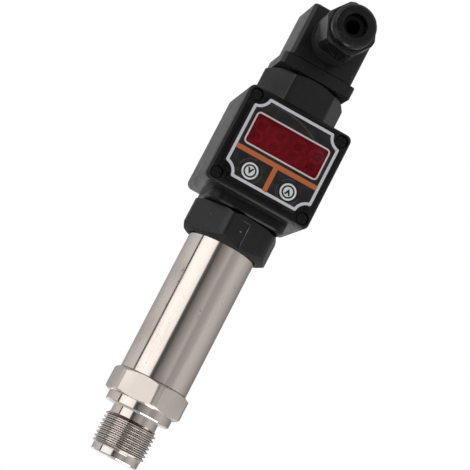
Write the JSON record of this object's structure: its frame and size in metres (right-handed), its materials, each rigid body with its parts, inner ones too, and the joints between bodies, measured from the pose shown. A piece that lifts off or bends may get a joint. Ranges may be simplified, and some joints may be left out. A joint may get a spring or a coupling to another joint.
{
  "type": "pressure transmitter",
  "caption": "Screw-in pressure transmitter: stainless barrel and threaded port below a swivelling display head with keys and a right-angle cable plug with gland.",
  "frame": {"origin": "centre of the pressure port's mouth, in the end face of the process thread", "axes": "+Z along the barrel, away from the process; the display faces -Y and the cable gland points along -Y"},
  "size_m": [0.0414, 0.0593, 0.1797],
  "materials": {
    "turned_stainless": "turned stainless steel with fine rings",
    "barrel_stainless": "ground stainless tube, satin",
    "black_nylon": "moulded glass-filled nylon, matte black",
    "black_abs": "moulded ABS, fine texture, black",
    "rubber": "moulded rubber",
    "label_film": "printed film with silver border and orange lines",
    "red_filter": "deep red transparent window",
    "segments": "unlit red segments",
    "module_face": "dark module face",
    "key_caps": "light grey cap with a printed ring and chevron",
    "black_screws": "blackened steel",
    "contact_metal": "tinned metal",
    "brass": "turned brass",
    "circuit_board": "green solder mask",
    "component_black": "moulded component bodies",
    "lead_sleeve": "soft sleeve round the leads"
  },
  "bodies": {
    "barrel": {"process_fitting": "turned_stainless", "pressure_cell": "turned_stainless", "cell_o_ring": "rubber", "cell_retaining_ring": "turned_stainless", "cell_pins": "contact_metal", "cell_board": "circuit_board", "amplifier_board": "circuit_board", "amplifier_components": "component_black", "barrel_tube": "barrel_stainless", "barrel_bush": "black_nylon", "swivel_o_ring": "rubber"},
    "union_nut": {"union_nut": "black_nylon"},
    "head": {"display_housing": "black_abs", "cover_gasket": "rubber", "front_cover": "black_abs", "front_label": "label_film", "display_window": "red_filter", "cover_screws": "black_screws", "board_screws": "contact_metal", "display_board": "circuit_board", "digit_module": "module_face", "digit_segments": "segments", "key_switches": "component_black", "display_components": "component_black", "signal_lead": "lead_sleeve", "supply_lead": "lead_sleeve", "hex_adapter": "black_nylon", "plug_base": "black_nylon", "contact_pins": "contact_metal", "fixing_insert": "brass", "profile_gasket": "rubber"},
    "down_key": {"down_key": "key_caps"},
    "up_key": {"up_key": "key_caps"},
    "socket": {"socket_housing": "black_nylon", "terminal_block": "black_nylon", "socket_contacts": "contact_metal", "terminal_screws": "contact_metal", "screw_o_ring": "rubber", "gland_seal": "rubber"},
    "fixing_screw": {"fixing_screw": "contact_metal"},
    "gland_washer": {"gland_washer": "black_nylon"},
    "gland_nut": {"gland_nut": "black_nylon"}
  },
  "joints": [
    {"name": "head_swivel", "type": "hinge", "parent": "barrel", "child": "head", "pos_m": [0, 0, 0.0935], "axis": [0, 0, 1], "range_deg": [-165, 165]},
    {"name": "union_nut_turn", "type": "hinge", "parent": "head", "child": "union_nut", "pos_m": [0, 0, 0.0911], "axis": [0, 0, 1], "range_deg": [-90, 0]},
    {"name": "down_key_press", "type": "slide", "parent": "head", "child": "down_key", "axis": [0, 1, 0], "range_m": [0, 0.0003], "stiffness_N_per_m": 200, "springref_m": -0.002},
    {"name": "up_key_press", "type": "slide", "parent": "head", "child": "up_key", "axis": [0, 1, 0], "range_m": [0, 0.0003], "stiffness_N_per_m": 200, "springref_m": -0.002},
    {"name": "socket_lift", "type": "slide", "parent": "head", "child": "socket", "axis": [0, 0, 1], "range_m": [0, 0.012]},
    {"name": "fixing_screw_turn", "type": "hinge", "parent": "socket", "child": "fixing_screw", "pos_m": [0, 0, 0.178], "axis": [0, 0, 1], "continuous": true},
    {"name": "gland_nut_advance", "type": "slide", "parent": "socket", "child": "gland_washer", "axis": [0, -1, 0], "range_m": [0, 0.004]},
    {"name": "gland_nut_turn", "type": "hinge", "parent": "gland_washer", "child": "gland_nut", "pos_m": [0, -0.03, 0.1705], "axis": [0, -1, 0], "range_deg": [0, 960.1]}
  ],
  "couplings": [
    {"joint": "gland_nut_turn", "follows": "gland_nut_advance", "rad_per_m": 4188.8}
  ]
}
